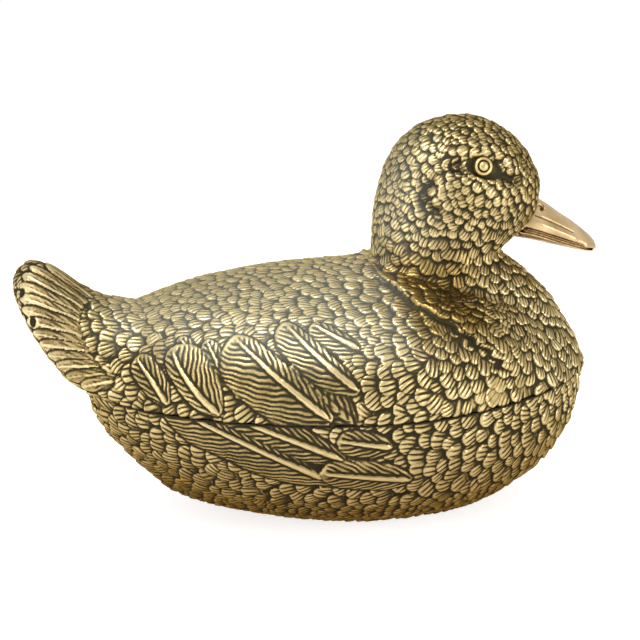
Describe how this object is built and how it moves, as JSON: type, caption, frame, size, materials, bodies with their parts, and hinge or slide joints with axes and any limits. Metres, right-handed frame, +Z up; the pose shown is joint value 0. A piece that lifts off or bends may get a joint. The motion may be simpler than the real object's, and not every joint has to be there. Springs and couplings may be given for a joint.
{
  "type": "duck ice bucket",
  "caption": "Cast brass duck with feathered body whose back, neck and head lift off as the lid of an insulated ice vessel.",
  "frame": {"origin": "on the surface that the duck stands on, at the middle of its length and width", "axes": "+X towards the bill, +Y towards the duck's left wing, +Z up"},
  "size_m": [0.356, 0.2054, 0.2386],
  "materials": {
    "aged_brass": "antiqued, dark in the recesses",
    "polished_brass": "polished, slightly worn",
    "liner_plastic": "satin moulded",
    "foam": "expanded foam",
    "rubber": "matt",
    "felt": "felt",
    "steel": "zinc plated"
  },
  "bodies": {
    "base": {"lower_shell": "aged_brass", "base_felt": "felt", "vessel_jacket": "liner_plastic", "vessel_foam": "foam", "ice_vessel": "liner_plastic", "vessel_screws": "steel"},
    "lid": {"lid_shell": "aged_brass", "head_casting": "aged_brass", "bill": "polished_brass", "right_eye": "polished_brass", "left_eye": "polished_brass", "neck_screws": "steel", "lid_pan": "liner_plastic", "lid_seal": "rubber", "lid_foam": "foam", "lid_screws": "steel"}
  },
  "joints": [
    {"name": "lid_lift", "type": "slide", "parent": "base", "child": "lid", "axis": [0, 0, 1], "range_m": [0, 0.12]}
  ]
}
